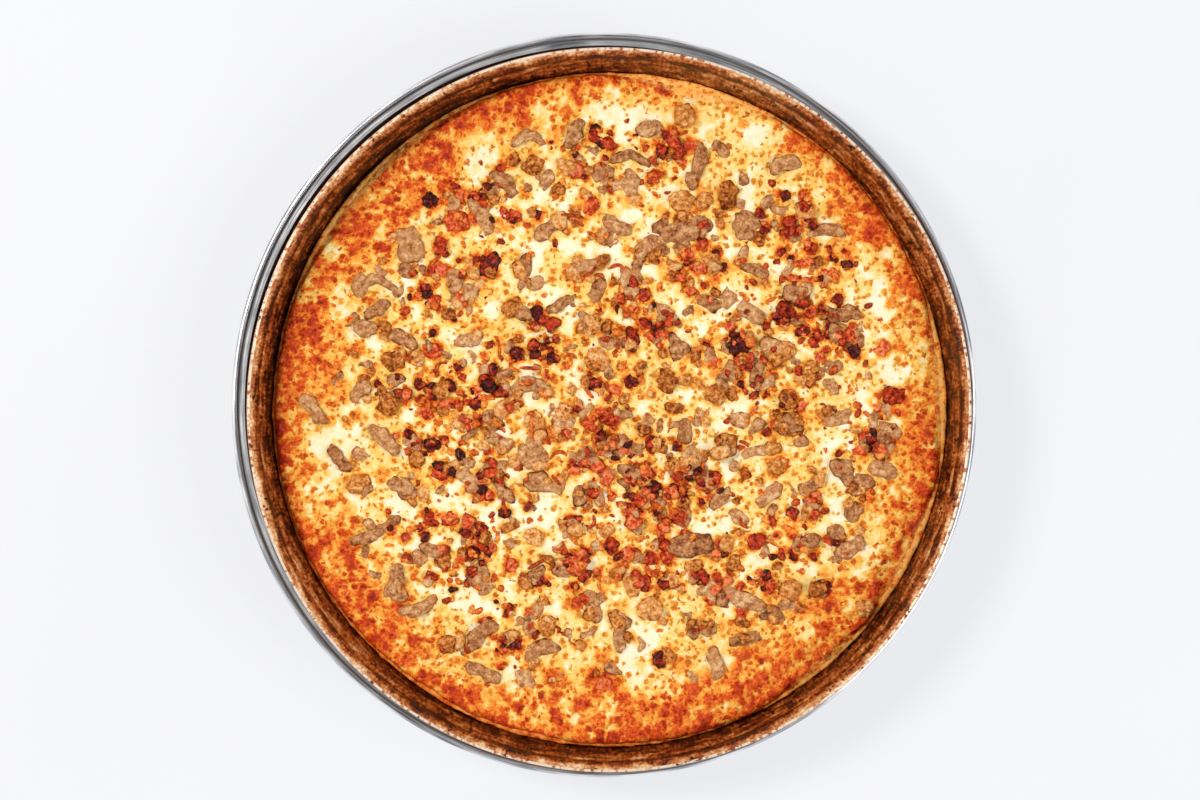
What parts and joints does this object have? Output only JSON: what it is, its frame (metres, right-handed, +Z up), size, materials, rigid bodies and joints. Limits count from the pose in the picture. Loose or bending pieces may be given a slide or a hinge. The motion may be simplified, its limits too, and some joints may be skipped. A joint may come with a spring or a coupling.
{
  "type": "deep dish pizza",
  "caption": "Round deep dish pizza with browned cheese and meat toppings in a dark flared baking pan, nested in a slightly larger bright pan.",
  "frame": {"origin": "centre of the bright outer pan's flat underside, where the part stands on a table", "axes": "+Z up out of the pan, +X to the right and +Y to the back when the pizza is seen from above"},
  "size_m": [0.3754, 0.3754, 0.0514],
  "materials": {
    "bright_steel": "bright rolled sheet with faint circular scratches",
    "seasoned_steel": "steel sheet with baked-on brown oil patina, worn bright on the rim",
    "baked_dough": "golden baked bread crust",
    "melted_cheese": "oily melted cheese, blistered and browned",
    "beef": "porous grey-brown cooked meat",
    "sausage": "browned crumbly cooked meat with a greasy sheen",
    "bacon": "dark red fried cured meat, glossy, charred in places"
  },
  "bodies": {
    "root": {"outer_pan": "bright_steel", "baking_pan": "seasoned_steel", "crust": "baked_dough", "cheese": "melted_cheese", "beef_strip_01": "beef", "beef_strip_02": "beef", "beef_strip_03": "beef", "beef_strip_04": "beef", "beef_strip_05": "beef", "beef_strip_06": "beef", "beef_strip_07": "beef", "beef_strip_08": "beef", "beef_strip_09": "beef", "beef_strip_10": "beef", "beef_strip_11": "beef", "beef_strip_12": "beef", "beef_strip_13": "beef", "beef_strip_14": "beef", "beef_strip_15": "beef", "beef_strip_16": "beef", "beef_strip_17": "beef", "beef_strip_18": "beef", "beef_strip_19": "beef", "beef_strip_20": "beef", "beef_strip_21": "beef", "beef_strip_22": "beef", "beef_strip_23": "beef", "beef_strip_24": "beef", "beef_strip_25": "beef", "beef_strip_26": "beef", "beef_strip_27": "beef", "beef_strip_28": "beef", "beef_strip_29": "beef", "beef_strip_30": "beef", "beef_strip_31": "beef", "beef_strip_32": "beef", "beef_strip_33": "beef", "sausage_crumble_01": "sausage", "sausage_crumble_02": "sausage", "sausage_crumble_03": "sausage", "sausage_crumble_04": "sausage", "sausage_crumble_05": "sausage", "sausage_crumble_06": "sausage", "sausage_crumble_07": "sausage", "sausage_crumble_08": "sausage", "sausage_crumble_09": "sausage", "sausage_crumble_10": "sausage", "sausage_crumble_11": "sausage", "sausage_crumble_12": "sausage", "sausage_crumble_13": "sausage", "sausage_crumble_14": "sausage", "sausage_crumble_15": "sausage", "bacon_piece_01": "bacon", "bacon_piece_02": "bacon", "bacon_piece_03": "bacon", "bacon_piece_04": "bacon", "bacon_piece_05": "bacon", "bacon_piece_06": "bacon", "bacon_piece_07": "bacon", "bacon_piece_08": "bacon"}
  },
  "joints": []
}
